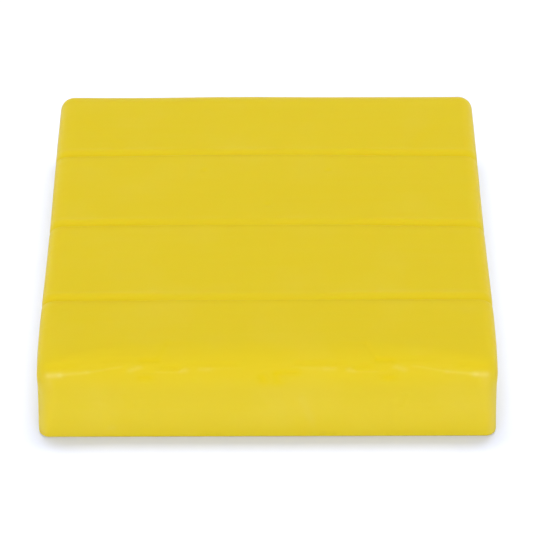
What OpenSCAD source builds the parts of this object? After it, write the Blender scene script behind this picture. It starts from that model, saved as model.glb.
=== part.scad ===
// Clay bar for paint decontamination: a square bar pressed as equal strips that lie side by side,
// stick together along flat faces, and pull off one at a time at the break lines.
// The bar rests on z = 0, centred on the origin. The strips run along X, and -Y is the front.

/* [Bar] */
// Length of the bar, along the strips, at the base
bar_length = 70; // [40:1:160]
// Width of one strip, at the base
strip_width = 17.5; // [12:0.5:40]
// Thickness of the bar
bar_thickness = 13; // [10:0.5:30]
// How far each outer side leans in, from the base to the top
side_lean = 0.3; // [0:0.05:1.5]

/* [Outer edges] */
// Radius of the soft top edge along the front
front_edge_r = 5; // [2:0.5:6]
// Radius of the top edge along the back
back_edge_r = 3; // [1:0.5:6]
// Radius of the top edges at the two ends
end_edge_r = 2.5; // [1:0.5:4]
// Radius of the four upright corners
corner_r = 3; // [1:0.5:6]
// Radius of the edges round the base
base_edge_r = 0.6; // [0.4:0.1:2]

/* [Break lines] */
// Radius of the rolled lip on the front of each strip, at a break line
front_lip_r = 1.4; // [0.6:0.1:2.5]
// Radius of the tighter lip on the back of each strip, at a break line
back_lip_r = 0.5; // [0.2:0.1:2]
// Radius of the lips under each break line, on the base
base_lip_r = 0.4; // [0.2:0.1:1]

/* [Hidden] */
$fn = 64;
strip_count = 4;
bar_depth = strip_count * strip_width;
half_length = bar_length / 2;
half_depth = bar_depth / 2;
// How far the outlines that trim the ends run past what they trim
overrun = 1;

// A vector's direction, one unit long
function unit(v) = v / norm(v);

// Half of the angle at corner q, between the sides that go to p and to s
function half_angle(p, q, s) = acos(unit(p - q) * unit(s - q)) / 2;

// The point on the side from q to p where an arc of radius r in corner q starts
function arc_start(p, q, s, r) = q + unit(p - q) * r / tan(half_angle(p, q, s));

// The centre of the arc of radius r that touches both sides of corner q
function arc_centre(p, q, s, r) = q + unit(unit(p - q) + unit(s - q)) * r / sin(half_angle(p, q, s));

// A convex outline whose corners are true arcs, each with its own radius
module rounded_outline(corners, radii) {
    last = len(corners) - 1;
    before = [for (i = [0 : last]) corners[i == 0 ? last : i - 1]];
    after = [for (i = [0 : last]) corners[i == last ? 0 : i + 1]];
    polygon([
        for (i = [0 : last])
            for (ends = [[before[i], after[i]], [after[i], before[i]]])
                arc_start(ends[0], corners[i], ends[1], radii[i])
    ]);
    for (i = [0 : last])
        translate(arc_centre(before[i], corners[i], after[i], radii[i]))
            circle(r = radii[i]);
}

// The whole bar seen from above
module plan_outline() {
    rounded_outline(
        [[-half_length, -half_depth], [half_length, -half_depth],
         [half_length, half_depth], [-half_length, half_depth]],
        [corner_r, corner_r, corner_r, corner_r]);
}

// The whole bar seen from the front, with its leaning ends
module end_outline() {
    top_x = half_length - side_lean;
    rounded_outline(
        [[-half_length, 0], [half_length, 0], [top_x, bar_thickness], [-top_x, bar_thickness]],
        [base_edge_r, base_edge_r, end_edge_r, end_edge_r]);
}

// The space inside the bar's four sides and its rounded ends
module bar_envelope() {
    intersection() {
        translate([0, 0, -overrun])
            linear_extrude(height = bar_thickness + 2 * overrun)
                plan_outline();
        rotate([90, 0, 0])
            linear_extrude(height = bar_depth + 2 * overrun, center = true)
                end_outline();
    }
}

// One strip, counted from the front: the outer two have a leaning side with its own edge radii
module strip(index) {
    is_front = index == 0;
    is_back = index == strip_count - 1;
    front_y = -half_depth + index * strip_width;
    back_y = front_y + strip_width;
    top_front_y = front_y + (is_front ? side_lean : 0);
    top_back_y = back_y - (is_back ? side_lean : 0);
    intersection() {
        rotate([90, 0, 90])
            linear_extrude(height = bar_length + 2 * overrun, center = true)
                rounded_outline(
                    [[front_y, 0], [back_y, 0],
                     [top_back_y, bar_thickness], [top_front_y, bar_thickness]],
                    [is_front ? base_edge_r : base_lip_r,
                     is_back ? base_edge_r : base_lip_r,
                     is_back ? back_edge_r : back_lip_r,
                     is_front ? front_edge_r : front_lip_r]);
        bar_envelope();
    }
}

module front_strip() {
    color([0.90, 0.80, 0.19]) strip(0);
}

module front_middle_strip() {
    color([0.89, 0.79, 0.18]) strip(1);
}

module back_middle_strip() {
    color([0.89, 0.79, 0.18]) strip(2);
}

module back_strip() {
    color([0.88, 0.79, 0.18]) strip(3);
}

front_strip();
front_middle_strip();
back_middle_strip();
back_strip();
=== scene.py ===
"""A detailing clay bar: four soft strips of yellow clay side by side, built round the CAD frame."""

import bpy
import numpy as np
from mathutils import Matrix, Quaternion, Vector


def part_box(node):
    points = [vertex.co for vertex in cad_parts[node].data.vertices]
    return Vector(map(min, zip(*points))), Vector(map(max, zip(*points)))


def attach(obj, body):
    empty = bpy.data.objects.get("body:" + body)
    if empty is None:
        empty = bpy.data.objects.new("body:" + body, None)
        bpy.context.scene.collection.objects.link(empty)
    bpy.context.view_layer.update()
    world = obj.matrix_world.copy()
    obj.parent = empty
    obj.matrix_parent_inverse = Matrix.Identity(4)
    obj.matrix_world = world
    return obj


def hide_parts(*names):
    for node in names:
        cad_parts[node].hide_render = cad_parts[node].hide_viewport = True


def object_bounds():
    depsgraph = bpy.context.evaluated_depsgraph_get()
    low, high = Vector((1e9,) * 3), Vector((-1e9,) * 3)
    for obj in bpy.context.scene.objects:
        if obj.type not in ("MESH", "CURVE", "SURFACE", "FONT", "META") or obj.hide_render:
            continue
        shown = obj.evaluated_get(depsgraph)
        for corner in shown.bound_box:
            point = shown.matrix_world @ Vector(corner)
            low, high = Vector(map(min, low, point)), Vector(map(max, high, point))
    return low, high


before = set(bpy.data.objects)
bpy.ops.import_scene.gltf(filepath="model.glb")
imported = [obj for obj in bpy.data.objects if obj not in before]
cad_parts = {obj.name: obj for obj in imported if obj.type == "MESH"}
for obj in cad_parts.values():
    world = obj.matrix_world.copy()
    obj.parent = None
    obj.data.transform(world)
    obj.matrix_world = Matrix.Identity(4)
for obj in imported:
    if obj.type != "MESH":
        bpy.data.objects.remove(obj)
cad_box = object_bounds()

# Lengths below are in millimetres, in the CAD frame. MM turns them into Blender's metres.
MM = 0.001
STRIPS = ["front_strip", "front_middle_strip", "back_middle_strip", "back_strip"]
LAST = len(STRIPS) - 1
HALF_LENGTH = cad_box[1].x / MM
FRONT_Y, BACK_Y = cad_box[0].y / MM, cad_box[1].y / MM
THICKNESS = cad_box[1].z / MM
BREAK_Y = [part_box(name)[1].y / MM for name in STRIPS[:-1]]

# How far the outer sides lean in at the top, and how far they pinch in half way up.
SIDE_LEAN = 0.18
SIDE_PINCH = 0.1
# Each end stands further out towards the back, by this much in all, and is in its place at this share of
# the way back. The back bows out in the middle.
BACK_WIDEN, EVEN_SHARE = 0.26, 0.35
BACK_BOW = 0.15
# The ends bulge a little near the top, most at BULGE_Y.
END_BULGE, BULGE_Y, BULGE_REACH = 0.28, -24.0, 17.0
# Each break line is a little off its place and bows and tilts in plan: (shift, bow, tilt), from the front.
BREAK_SHAPE = [(-0.5, 0.0, 0.0), (-0.2, -0.3, -0.1), (0.05, -0.35, -0.05)]
# Half of the hairline between two strips.
HAIRLINE = 0.004
# How wide the soft top edges are: along the front, along the back and at the two ends.
FRONT_SOFT, BACK_SOFT, END_SOFT = 7.5, 3.4, 2.8
# Radii of the upright corners at the base, and at the top of the front and back ones.
CORNER_LOW_R, FRONT_CORNER_R, BACK_CORNER_R = 1.7, 5.0, 2.6
# Radii of the base edges, and of the edges round a bond face.
BASE_R, BOND_R = 0.4, 0.04
# The top sinks towards a break line: (depth, width) of the lip behind the line and of the one before it.
BACK_DIP, FRONT_DIP = (0.6, 1.9), (0.12, 1.6)
# A bond face is torn this deep where two strips were pressed together, and is this much paler there.
TEAR, TORN_WEAR = 0.14, 0.18
# The height of the slow swells in the surface, and how far the top is lowered to leave them room.
SWELL, TOP_ROOM = 0.03, 0.04
# A surface begins to face a way when its normal's share of that way is the first, and does at the second.
FACING = (0.3, 0.9)
# Surface points are found along rays that start on a core, this deep inside a strip's box.
CORE_DEPTH = 4.5

# Marks pressed into the top and the front face, some of them pale with a painted highlight. Each is a line
# from (x, u) to (x, u) with a half-width, a height and a wear and highlight: 1 is pale, a painted
# highlight, -1 is deep yellow. u is y on the top and runs on down the front face, so that u = FRONT_Y is
# the crest of the front edge.
MIRRORED_MARKS = [
    # The ridge along the front edge, from its pale end inwards, with a painted highlight along it.
    (32.8, -34.7, 31.2, -34.7, 0.60, 0.07, 0.45),
    (31.2, -34.6, 27.0, -34.1, 0.40, 0.06, 0.20),
    (27.0, -34.1, 22.0, -32.9, 0.30, 0.05, 0.12),
    (20.5, -33.7, 19.3, -33.1, 0.60, 0.045, 0.22),
    (17.4, -34.1, 13.1, -34.0, 0.35, 0.03, 0.12),
    (12.8, -33.7, 12.4, -33.7, 0.60, 0.04, 0.24),
    (10.0, -33.5, 8.8, -33.5, 0.50, 0.03, 0.15),
    (8.8, -33.4, 4.0, -33.3, 0.40, 0.02, 0.06),
    # Hollows behind and below the ridge.
    (32.6, -32.8, 29.0, -32.6, 0.60, -0.06, -0.4),
    (24.5, -31.4, 20.0, -31.4, 0.50, -0.03, -0.2),
    (18.9, -31.6, 16.5, -31.6, 0.55, -0.10, -0.9),
    (18.8, -35.1, 17.8, -35.1, 0.80, -0.12, -0.95),
    (15.6, -32.9, 13.5, -33.1, 0.60, -0.07, -0.5),
    (11.8, -32.2, 4.5, -32.3, 0.45, -0.03, -0.3),
    (16.4, -31.0, 14.9, -28.1, 0.45, -0.05, -0.25),
    (14.9, -28.0, 11.5, -28.0, 0.40, -0.02, -0.2),
    # Creases and dents in the front face, and nicks in its base edge.
    (21.2, -39.1, 20.3, -41.0, 0.50, -0.08, -0.2),
    (19.0, -40.6, 19.0, -45.7, 0.50, -0.05, 0.0),
    (25.6, -41.0, 24.8, -41.6, 0.60, -0.06, 0.0),
    (9.8, -47.4, 7.7, -47.4, 0.40, -0.12, -0.3),
    # Painted sheen down the upright corners of the front face.
    (34.3, -37.0, 34.3, -46.5, 0.70, 0.0, 0.22),
    # Soft dimples in the top, pits, and small bumps behind the front break line.
    (30.5, -1.5, 30.5, -1.5, 0.80, -0.06, 0.0),
    (30.5, -19.9, 30.7, -19.9, 0.90, -0.06, 0.0),
    (10.1, 13.3, 10.1, 13.3, 0.40, -0.14, -0.3),
    (17.6, -15.9, 17.6, -15.9, 0.60, 0.03, 0.05),
    # Faint slanting creases in the back strip.
    (30.2, 26.5, 24.5, 20.2, 0.90, -0.02, -0.25),
]
SINGLE_MARKS = [
    # Hollows in the middle of the front edge.
    (-0.8, -35.1, -0.6, -35.6, 0.80, -0.14, -1.2),
    (1.2, -34.5, 1.5, -35.9, 0.70, -0.12, -1.0),
    (1.5, -34.1, 4.3, -34.1, 0.50, -0.06, -0.8),
    # A faint ridge, a crease and a dent in the front face.
    (5.2, -39.6, 7.0, -45.5, 0.60, 0.03, 0.08),
    (-0.7, -39.6, 0.6, -42.6, 0.50, -0.05, 0.0),
    (-23.9, -46.0, -23.5, -46.0, 0.50, -0.05, 0.1),
    # A pit and a soft dimple in the top.
    (0.2, 4.6, 0.2, 4.6, 0.40, -0.14, -0.3),
    (2.1, -19.9, 2.3, -19.9, 0.80, -0.05, 0.0),
]
MARKS = SINGLE_MARKS + [
    (side * x1, u1, side * x2, u2, *rest) for side in (-1, 1) for x1, u1, x2, u2, *rest in MIRRORED_MARKS
]


# ---- fields -----------------------------------------------------------------------------------


def waves(seed, count, shortest, longest):
    """A smooth random field over space: a sum of seeded sine waves whose lengths lie in that range."""
    rng = np.random.default_rng(seed)
    directions = rng.normal(size=(count, 3))
    directions /= np.linalg.norm(directions, axis=1, keepdims=True)
    lengths = rng.uniform(shortest, longest, count)
    vectors = directions * (2 * np.pi / lengths)[:, None]
    phases = rng.uniform(0, 2 * np.pi, count)

    def field(points, stretch=(1, 1, 1)):
        return np.sin((points * stretch) @ vectors.T + phases).sum(axis=1) / np.sqrt(count / 2)

    return field


def smooth_step(value, low, high):
    t = np.clip((value - low) / (high - low), 0, 1)
    return t * t * (3 - 2 * t)


def round_max(a, b, radius):
    """The larger of two distances, with the corner between them rounded to a radius."""
    u, v = np.maximum(a + radius, 0), np.maximum(b + radius, 0)
    return np.minimum(np.maximum(a, b), -radius) + np.hypot(u, v)


def soft_max(a, b, width):
    """The larger of two distances, with the corner eased over a width, without an arc's abrupt ends."""
    ease = np.maximum(width - np.abs(a - b), 0) / width
    return np.maximum(a, b) + ease * ease * width / 4


# ---- the shape of a strip ---------------------------------------------------------------------

slow_waves = waves(3, 14, 16, 45)
lip_waves = waves(8, 10, 7, 18)
tear_waves = waves(21, 40, 1.6, 6)
crumb_waves = waves(22, 40, 0.7, 1.6)


def break_line(index, x):
    """The y of the bond face in front of strip index + 1."""
    shift, bow, tilt = BREAK_SHAPE[index]
    share = x / HALF_LENGTH
    return BREAK_Y[index] + shift + bow * share**2 + tilt * share


def side_distances(index, points):
    """Distances outside the ends, the front and the back of a strip: negative within."""
    x, y, z = points.T
    up = np.clip(z / THICKNESS, 0, 1)
    lean = SIDE_LEAN * up + SIDE_PINCH * np.sin(np.pi * up)
    bulge = END_BULGE * np.exp(-(((y - BULGE_Y) / BULGE_REACH) ** 2)) * smooth_step(up, 0.6, 0.9)
    widen = BACK_WIDEN * ((y - FRONT_Y) / (BACK_Y - FRONT_Y) - EVEN_SHARE)
    end = np.abs(x) - (HALF_LENGTH - lean + bulge + widen)
    if index == 0:
        front = FRONT_Y + lean - y
    else:
        front = break_line(index - 1, x) + HAIRLINE - y
    if index == LAST:
        back = y - (BACK_Y - lean + BACK_BOW * (1 - (x / HALF_LENGTH) ** 2))
    else:
        back = y - (break_line(index, x) - HAIRLINE)
    return end, front, back


def lip_strength(index, x):
    """How marked break line index is along its length: plain towards the ends, faint in the middle."""
    # Each line reads the waves at a place of its own, so that no two lines are alike.
    place = np.full_like(x, 40.0 * index)
    patches = 0.12 * lip_waves(np.column_stack([x, place, np.zeros_like(x)]))
    return np.clip(0.45 + 0.55 * smooth_step(np.abs(x), 6, 26) + patches, 0.1, 1.3)


def sink(index, x, front, back):
    """How far the top of a strip sinks towards the break lines in front of it and behind it."""
    total = np.zeros_like(x)
    if index > 0:
        depth, width = BACK_DIP
        total += depth * lip_strength(index - 1, x) * np.clip(1 + front / width, 0, 1) ** 2
    if index < LAST:
        depth, width = FRONT_DIP
        total += depth * lip_strength(index, x) * np.clip(1 + back / width, 0, 1) ** 2
    return total


def edge_softness(index, end, front, back):
    """How widely the top edge is eased at each place: set by the nearest outer side."""
    reach = 2.8
    widths = [(end, END_SOFT)]
    if index == 0:
        widths.append((front, FRONT_SOFT))
    if index == LAST:
        widths.append((back, BACK_SOFT))
    weights = [np.exp(np.minimum(distance, 0) / reach) for distance, _ in widths]
    return sum(weight * width for weight, (_, width) in zip(weights, widths)) / sum(weights)


def strip_field(index, points):
    """Below zero inside a strip, zero on its surface, and above it outside."""
    x, _, z = points.T
    end, front, back = side_distances(index, points)
    height = np.clip(z / THICKNESS, 0, 1) ** 2
    plan = end
    if index == 0:
        plan = round_max(plan, front, CORNER_LOW_R + (FRONT_CORNER_R - CORNER_LOW_R) * height)
    if index == LAST:
        plan = round_max(plan, back, CORNER_LOW_R + (BACK_CORNER_R - CORNER_LOW_R) * height)
    top = z - THICKNESS + TOP_ROOM + sink(index, x, front, back)
    body = soft_max(plan, top, edge_softness(index, end, front, back))
    body = round_max(body, -z, BASE_R)
    if index > 0:
        body = round_max(body, front, BOND_R)
    if index < LAST:
        body = round_max(body, back, BOND_R)
    return body


# ---- relief, wear and painted light -----------------------------------------------------------


def marks_at(index, points, normals):
    """Height, and wear with painted highlights, of the marks at each place on a strip's top, and on the
    bar's front face.
    """
    x, y, z = points.T
    u = y + z - THICKNESS
    if index == 0:
        facing = smooth_step(normals[:, 2] - normals[:, 1], *FACING)
    else:
        facing = smooth_step(normals[:, 2], *FACING)
    height, wear_and_highlight = np.zeros_like(x), np.zeros_like(x)
    for x1, u1, x2, u2, half_width, mark_height, mark_wear_and_highlight in MARKS:
        run_x, run_u = x2 - x1, u2 - u1
        share = np.clip(((x - x1) * run_x + (u - u1) * run_u) / max(run_x**2 + run_u**2, 1e-9), 0, 1)
        apart = np.hypot(x - x1 - share * run_x, u - u1 - share * run_u)
        mark = np.exp(-((apart / half_width) ** 2)) * facing
        height += mark_height * mark
        wear_and_highlight += mark_wear_and_highlight * mark
    return height, wear_and_highlight


def paint_seam_light(index, points, front, back):
    """Painted light along the break lines: a highlight and a deeper tone added to wear, and painted shade
    by how far down in a break line each place is.
    """
    wear_and_highlight, seam_shade = np.zeros(len(points)), np.zeros(len(points))
    if index > 0:
        strength = lip_strength(index - 1, points[:, 0])
        # A painted highlight on the crest, then a deeper painted tone on the slope, then painted shade at
        # its foot.
        wear_and_highlight += 0.08 * strength * np.exp(-(((front + 1.8) / 0.4) ** 2))
        wear_and_highlight -= 0.25 * strength * np.exp(-(((front + 0.6) / 0.5) ** 2))
        seam_shade += 0.5 * strength * np.exp(-(((front + 0.2) / 0.4) ** 2))
    if index < LAST:
        # Painted shade along the rear edge, down where this strip meets the next.
        seam_shade += 0.9 * np.exp(-((back / 0.6) ** 2))
    return np.array([wear_and_highlight, seam_shade])


def torn(index, points, normals, end):
    """How deep a bond face is torn at each place. Its rim is left whole, and the tear deepens inwards."""
    z = points[:, 2]
    rim = np.minimum(np.minimum(z, THICKNESS - z), -end)
    inner = np.zeros_like(z)
    if index > 0:
        inner += smooth_step(-normals[:, 1], 0.8, 0.95)
    if index < LAST:
        inner += smooth_step(normals[:, 1], 0.8, 0.95)
    rough = np.clip(0.5 + 0.35 * tear_waves(points, (0.5, 1, 1)) + 0.15 * crumb_waves(points), 0, 1.3)
    return TEAR * inner * smooth_step(rim, 0.3, 2.0) * rough


# ---- meshes -----------------------------------------------------------------------------------


def stations(low, high, low_band, low_step, high_band, high_step, middle_step):
    """Places from low to high, close together in a band at each end and wider apart between."""
    samples = 4001
    fine = np.linspace(low, high, samples)
    near_low = np.exp(-(((fine - low) / low_band) ** 2))
    near_high = np.exp(-(((high - fine) / high_band) ** 2))
    density = 1 / middle_step + near_low * (1 / low_step - 1 / middle_step)
    density += near_high * (1 / high_step - 1 / middle_step)
    total = np.concatenate([[0], np.cumsum((density[1:] + density[:-1]) / 2 * np.diff(fine))])
    count = int(round(total[-1]))
    return np.interp(np.linspace(0, total[-1], count + 1), total, fine)


def box_shell(xs, ys, zs):
    """The points and outward-facing quads of a box's six sides, cut at these stations."""
    shape = (len(xs), len(ys), len(zs))
    outer = np.zeros(shape, bool)
    outer[[0, -1]] = outer[:, [0, -1]] = outer[:, :, [0, -1]] = True
    number = np.full(shape, -1)
    number[outer] = np.arange(outer.sum())
    i, j, k = np.nonzero(outer)
    points = np.column_stack([xs[i], ys[j], zs[k]])
    quads = []
    for side, flipped in (
        (number[:, :, -1], False), (number[:, :, 0], True),
        (number[:, 0, :], False), (number[:, -1, :], True),
        (number[-1], False), (number[0], True),
    ):
        a, b, c, d = side[:-1, :-1], side[1:, :-1], side[1:, 1:], side[:-1, 1:]
        ring = (a, d, c, b) if flipped else (a, b, c, d)
        quads.append(np.stack(ring, axis=-1).reshape(-1, 4))
    return points, np.concatenate(quads)


def settle(points, low, high, field, core):
    """Moves each point of a box's surface along its ray from the box's core to where the field is zero."""
    heart = np.clip(points, low + core, high - core)
    ray = points - heart
    length = np.linalg.norm(ray, axis=1)
    ray /= length[:, None]
    margin, halvings = 1.0, 26
    inside, outside = np.zeros(len(points)), length + margin
    for _ in range(halvings):
        middle = (inside + outside) / 2
        within = field(heart + ray * middle[:, None]) < 0
        inside = np.where(within, middle, inside)
        outside = np.where(within, outside, middle)
    return heart + ray * ((inside + outside) / 2)[:, None]


def normals_of(points, field, step=0.02):
    slope = np.column_stack([
        field(points + axis * step) - field(points - axis * step) for axis in np.eye(3)
    ])
    return slope / np.maximum(np.linalg.norm(slope, axis=1, keepdims=True), 1e-9)


def make_strip(index, material):
    name = STRIPS[index]
    low, high = (np.array(corner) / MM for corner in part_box(name))
    # After low and high: the band and step at the low side, those at the high side, and the step between.
    if index == 0:
        ys = stations(low[1], high[1], 7, 0.2, 0.8, 0.08, 0.4)
        zs = stations(low[2], high[2], 1.2, 0.16, 6, 0.2, 0.4)
        xs = stations(low[0], high[0], 4, 0.2, 4, 0.2, 0.27)
    else:
        ys = stations(low[1], high[1], 2.0, 0.09, 1.0, 0.09, 0.34)
        zs = stations(low[2], high[2], 1.0, 0.16, 1.8, 0.12, 0.4)
        xs = stations(low[0], high[0], 3, 0.2, 3, 0.2, 0.29)
    points, quads = box_shell(xs, ys, zs)

    def field(places):
        return strip_field(index, places)

    points = settle(points, low, high, field, CORE_DEPTH)
    normals = normals_of(points, field)
    end, front, back = side_distances(index, points)
    height, wear_and_highlight = marks_at(index, points, normals)
    depth = torn(index, points, normals, end)
    height += SWELL * slow_waves(points) * smooth_step(points[:, 2], 0, 2) - depth
    # Painted highlight, deeper tone and shade along the break lines, on faces that look up.
    seam_painted_light, seam_shade = paint_seam_light(index, points, front, back) * smooth_step(normals[:, 2], *FACING)
    wear_and_highlight += seam_painted_light + TORN_WEAR * np.minimum(depth / TEAR, 1)
    points = points + normals * height[:, None]

    mesh = bpy.data.meshes.new(name + "_clay")
    mesh.from_pydata(points * MM, [], quads)
    # Wear with painted highlights, and painted shade in the break lines, are passed to the material.
    mesh.attributes.new("wear_and_highlight", "FLOAT", "POINT").data.foreach_set("value", wear_and_highlight)
    mesh.attributes.new("seam_shade", "FLOAT", "POINT").data.foreach_set("value", seam_shade)
    mesh.shade_smooth()
    piece = bpy.data.objects.new(name + "_clay", mesh)
    bpy.context.scene.collection.objects.link(piece)
    mesh.materials.append(material)
    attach(piece, name)
    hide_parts(name)


# ---- materials --------------------------------------------------------------------------------


def add_node(tree, kind, values=(), links=()):
    """A node with its socket values set, and with its inputs linked from other nodes' outputs."""
    node = tree.nodes.new(kind)
    for socket, value in values:
        node.inputs[socket].default_value = value
    for socket, source in links:
        tree.links.new(source, node.inputs[socket])
    return node


def clay_material():
    """Waxy yellow clay: darker with painted shade in the break lines, pale on torn faces and with painted
    highlights on ridges and corners, with fine draw lines and grain.
    """
    material = bpy.data.materials.new("clay")
    material.use_nodes = True
    tree = material.node_tree
    shader = tree.nodes["Principled BSDF"]
    place = add_node(tree, "ShaderNodeTexCoord").outputs["Object"]
    drawn = add_node(tree, "ShaderNodeMapping", [("Scale", (0.06, 1.0, 1.0))], [("Vector", place)])

    drift = add_node(tree, "ShaderNodeTexNoise", [("Scale", 90.0), ("Detail", 4.0)], [("Vector", place)])
    lines = add_node(
        tree, "ShaderNodeTexNoise",
        [("Scale", 900.0), ("Detail", 3.0)],
        [("Vector", drawn.outputs["Vector"])],
    )
    grain = add_node(tree, "ShaderNodeTexNoise", [("Scale", 2200.0), ("Detail", 2.0)], [("Vector", place)])

    # Wear with painted highlights: pale on torn faces, and painted highlights on ridges, break-line crests
    # and the front corners.
    wear_and_highlight = add_node(tree, "ShaderNodeAttribute")
    wear_and_highlight.attribute_name = "wear_and_highlight"
    drifting = add_node(
        tree, "ShaderNodeMapRange",
        [("From Min", 0.3), ("From Max", 0.7), ("To Min", -0.06), ("To Max", 0.06)],
        [("Value", drift.outputs[0])],
    )
    tone = add_node(tree, "ShaderNodeMath", (), [(0, wear_and_highlight.outputs["Fac"]), (1, drifting.outputs["Result"])])
    share = add_node(
        tree, "ShaderNodeMapRange",
        [("From Min", -1.2), ("From Max", 1.2), ("To Min", 0.0), ("To Max", 1.0)],
        [("Value", tone.outputs["Value"])],
    )
    colours = add_node(tree, "ShaderNodeValToRGB", (), [("Fac", share.outputs["Result"])])
    ramp = colours.color_ramp.elements
    ramp[0].position, ramp[0].color = 0.0, (0.545, 0.412, 0.001, 1)
    ramp[1].position, ramp[1].color = 1.0, (0.61, 0.52, 0.13, 1)
    middle = ramp.new(0.5)
    middle.color = (0.540, 0.415, 0.0095, 1)
    # Painted shade: a darker yellow down in the break lines.
    seam_shade = add_node(tree, "ShaderNodeAttribute")
    seam_shade.attribute_name = "seam_shade"
    shaded = add_node(
        tree, "ShaderNodeMixRGB", [("Color2", (0.505, 0.38, 0.003, 1))],
        [("Fac", seam_shade.outputs["Fac"]), ("Color1", colours.outputs["Color"])],
    )
    tree.links.new(shaded.outputs["Color"], shader.inputs["Base Color"])

    roughness = add_node(
        tree, "ShaderNodeMapRange",
        [("From Min", 0.3), ("From Max", 0.7), ("To Min", 0.44), ("To Max", 0.56)],
        [("Value", lines.outputs[0])],
    )
    tree.links.new(roughness.outputs["Result"], shader.inputs["Roughness"])
    line_bump = add_node(
        tree, "ShaderNodeBump", [("Strength", 0.25), ("Distance", 0.00006)], [("Height", lines.outputs[0])]
    )
    grain_bump = add_node(
        tree, "ShaderNodeBump", [("Strength", 0.25), ("Distance", 0.00004)],
        [("Height", grain.outputs[0]), ("Normal", line_bump.outputs["Normal"])],
    )
    tree.links.new(grain_bump.outputs["Normal"], shader.inputs["Normal"])
    shader.inputs["Specular IOR Level"].default_value = 0.2
    shader.inputs["Subsurface Weight"].default_value = 0.3
    shader.inputs["Subsurface Radius"].default_value = (1.0, 0.6, 0.1)
    shader.inputs["Subsurface Scale"].default_value = 0.0025
    return material


def floor_material():
    material = bpy.data.materials.new("floor")
    material.use_nodes = True
    shader = material.node_tree.nodes["Principled BSDF"]
    # Pale, and a little blue to offset the yellow light that the clay throws on it.
    shader.inputs["Base Color"].default_value = (0.75, 0.79, 0.95, 1)
    shader.inputs["Roughness"].default_value = 0.9
    shader.inputs["Specular IOR Level"].default_value = 0.1
    return material


# ---- stage, lights and camera -----------------------------------------------------------------


def make_floor():
    half = 3.0
    mesh = bpy.data.meshes.new("floor")
    corners = [(-half, -half, 0), (half, -half, 0), (half, half, 0), (-half, half, 0)]
    mesh.from_pydata(corners, [], [(0, 1, 2, 3)])
    mesh.materials.append(floor_material())
    floor = bpy.data.objects.new("floor", mesh)
    bpy.context.scene.collection.objects.link(floor)
    # A hair below the clay, so that the two faces don't flicker through each other.
    floor.location.z = -0.02 * MM


def aim(thing, target):
    thing.rotation_mode = "QUATERNION"
    thing.rotation_quaternion = (Vector(target) - thing.location).to_track_quat("-Z", "Y")


def area_light(name, place, target, size, power):
    data = bpy.data.lights.new(name, "AREA")
    data.shape = "RECTANGLE"
    data.size, data.size_y = size
    data.energy = power
    light = bpy.data.objects.new(name, data)
    bpy.context.scene.collection.objects.link(light)
    light.location = place
    aim(light, target)
    return light


def light_scene():
    """A white tent, brighter near the floor, with softboxes overhead, in front and low on both sides."""
    world = bpy.data.worlds.new("studio")
    world.use_nodes = True
    tree = world.node_tree
    place = add_node(tree, "ShaderNodeTexCoord")
    parts = add_node(tree, "ShaderNodeSeparateXYZ", (), [("Vector", place.outputs["Generated"])])
    glow = add_node(
        tree, "ShaderNodeMapRange",
        [("From Min", 0.0), ("From Max", 0.35), ("To Min", 1.5), ("To Max", 0.54)],
        [("Value", parts.outputs["Z"])],
    )
    tree.links.new(glow.outputs["Result"], tree.nodes["Background"].inputs["Strength"])
    tree.nodes["Background"].inputs["Color"].default_value = (1, 1, 1, 1)
    bpy.context.scene.world = world
    overhead = area_light("overhead", (0, 0.3, 0.95), (0, 0, 0), (0.6, 0.3), 6.7)
    front = area_light("front", (0, -0.75, 0.7), (0, 0, 0), (1.0, 0.4), 2.5)
    # These two add no sheen of their own.
    overhead.visible_glossy = False
    front.visible_glossy = False
    # The low pair stands at both sides of the camera and casts no shadows.
    for side in (-1, 1):
        low = area_light("low", (0.8 * side, -0.88, 0.2), (0, 0, 0), (0.5, 0.3), 4.25)
        low.data.use_shadow = False


def make_camera():
    """A long lens that looks down on the front of the bar, with a very slight roll."""
    elevation, roll = np.radians(41.4), np.radians(-0.17)
    distance, lens = 0.388, 167.7
    target = Vector((-0.08, FRONT_Y + 24.6, THICKNESS)) * MM
    data = bpy.data.cameras.new("camera")
    data.lens = lens
    data.clip_start = 0.01
    camera = bpy.data.objects.new("camera", data)
    bpy.context.scene.collection.objects.link(camera)
    camera.location = target + Vector((0, -np.cos(elevation), np.sin(elevation))) * distance
    aim(camera, target)
    camera.rotation_quaternion @= Quaternion((0, 0, 1), roll)
    bpy.context.scene.camera = camera


clay = clay_material()
for strip in range(len(STRIPS)):
    make_strip(strip, clay)
make_floor()
light_scene()
make_camera()
bpy.context.scene.view_settings.view_transform = "Standard"
